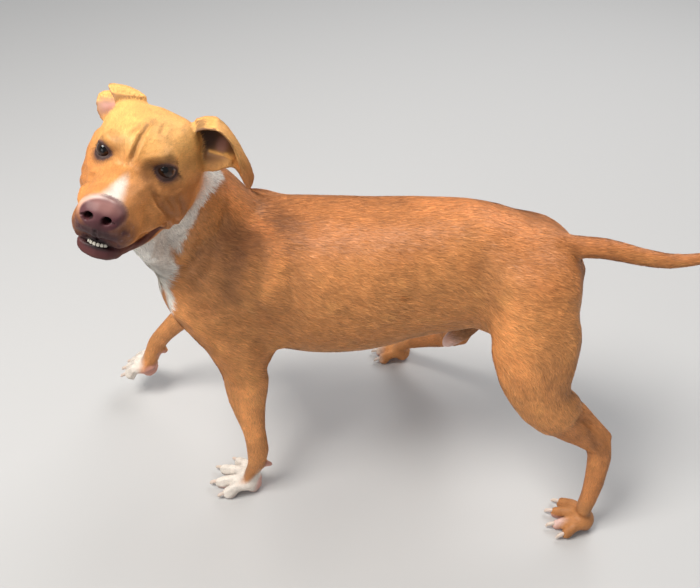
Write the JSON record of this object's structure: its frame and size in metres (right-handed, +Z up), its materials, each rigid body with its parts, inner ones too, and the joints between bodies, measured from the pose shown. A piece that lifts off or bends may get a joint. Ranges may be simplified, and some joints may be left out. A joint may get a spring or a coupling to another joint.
{
  "type": "short-coated standing dog",
  "caption": "Lean short-coated bull-type dog, life size, standing with a forepaw lifted, the head turned to its left, mouth slightly open and tail held level.",
  "frame": {"origin": "on the floor under the middle of the bounding box", "axes": "+X the way the body faces, +Y the left of the dog, +Z up"},
  "size_m": [1.01, 0.5848, 0.7067],
  "materials": {
    "coat_body": "short flat red-tan hair",
    "coat_face": "short flat golden hair",
    "coat_ear": "short flat golden hair, bare pink inside",
    "coat_white": "short flat white hair",
    "nose_leather": "damp pebbled skin",
    "lip": "smooth bare skin",
    "eye": "wet and glossy",
    "claw": "smooth horn"
  },
  "bodies": {
    "root": {"trunk": "coat_body", "neck": "coat_body", "tail": "coat_body", "foreleg_left": "coat_body", "foreleg_right": "coat_body", "thigh_left": "coat_body", "thigh_right": "coat_body", "hock_left": "coat_body", "hock_right": "coat_body", "head": "coat_face", "ear_left": "coat_ear", "ear_right": "coat_ear", "forepaw_left": "coat_white", "forepaw_right": "coat_white", "hindpaw_left": "coat_white", "hindpaw_right": "coat_white", "nose": "nose_leather", "lower_jaw": "lip", "eye_left": "eye", "eye_right": "eye", "claw_forepaw_left_1": "claw", "claw_forepaw_left_2": "claw", "claw_forepaw_left_3": "claw", "claw_forepaw_left_4": "claw", "claw_forepaw_right_1": "claw", "claw_forepaw_right_2": "claw", "claw_forepaw_right_3": "claw", "claw_forepaw_right_4": "claw", "claw_hindpaw_left_1": "claw", "claw_hindpaw_left_2": "claw", "claw_hindpaw_left_3": "claw", "claw_hindpaw_left_4": "claw", "claw_hindpaw_right_1": "claw", "claw_hindpaw_right_2": "claw", "claw_hindpaw_right_3": "claw", "claw_hindpaw_right_4": "claw"}
  },
  "joints": []
}
